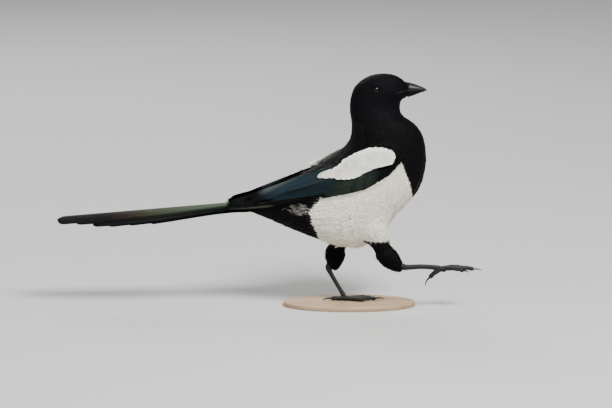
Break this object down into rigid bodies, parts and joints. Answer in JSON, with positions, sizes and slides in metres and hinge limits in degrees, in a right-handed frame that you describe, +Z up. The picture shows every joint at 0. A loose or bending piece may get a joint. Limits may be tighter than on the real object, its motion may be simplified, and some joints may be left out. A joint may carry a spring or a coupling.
{
  "type": "eurasian magpie",
  "caption": "Life-size still model of a black and white long-tailed crow-family bird in mid-stride, one foot raised, for display.",
  "frame": {"origin": "centre of the bounding box in plan, on the floor under the display base", "axes": "+X towards the bill, along the bird; +Y to the bird's left; +Z up"},
  "size_m": [0.4615, 0.078, 0.2557],
  "materials": {
    "black_feather": "soft black body feathers with a faint purple and green gloss",
    "white_feather": "soft matt white body feathers",
    "wing_feather": "dark flight feathers with a blue and green metallic sheen",
    "tail_feather": "dark tail feathers with a green, bronze and purple metallic sheen",
    "bill_horn": "smooth black horn with a low gloss",
    "leg_scale": "scaled grey-black skin",
    "eye": "wet dark brown eye",
    "base_wood": "plain light wood with a satin surface"
  },
  "bodies": {
    "root": {"head": "black_feather", "neck": "black_feather", "trunk": "white_feather", "tail": "tail_feather", "wing_left": "wing_feather", "wing_right": "wing_feather", "thigh_left": "white_feather", "thigh_right": "white_feather", "shank_left": "black_feather", "shank_right": "black_feather", "tarsus_left": "leg_scale", "tarsus_right": "leg_scale", "foot_left": "leg_scale", "foot_right": "leg_scale", "claw_inner_left": "bill_horn", "claw_middle_left": "bill_horn", "claw_outer_left": "bill_horn", "claw_hind_left": "bill_horn", "claw_inner_right": "bill_horn", "claw_middle_right": "bill_horn", "claw_outer_right": "bill_horn", "claw_hind_right": "bill_horn", "bill_upper": "bill_horn", "bill_lower": "bill_horn", "eye_left": "eye", "eye_right": "eye", "stand_base": "base_wood"}
  },
  "joints": []
}
